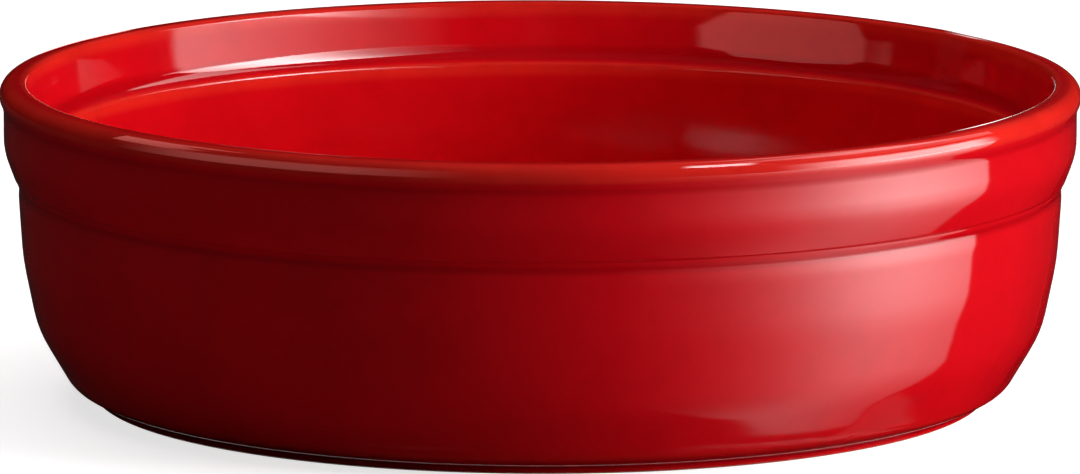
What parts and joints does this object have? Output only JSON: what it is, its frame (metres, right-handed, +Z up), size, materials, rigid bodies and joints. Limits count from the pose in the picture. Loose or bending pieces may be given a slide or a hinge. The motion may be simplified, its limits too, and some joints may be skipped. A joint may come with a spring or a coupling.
{
  "type": "creme brulee dish",
  "caption": "Shallow round baking dish of glazed stoneware with a stepped collar, a rolled lip, an inner ledge and a low bare foot ring.",
  "frame": {"origin": "centre of the base, on the plane that the foot ring rests on", "axes": "+Z up along the dish's axis of revolution, out of its open top; X and Y lie in the table's plane"},
  "size_m": [0.12, 0.12, 0.0354],
  "materials": {
    "glaze": "gloss"
  },
  "bodies": {
    "root": {"dish": "glaze"}
  },
  "joints": []
}
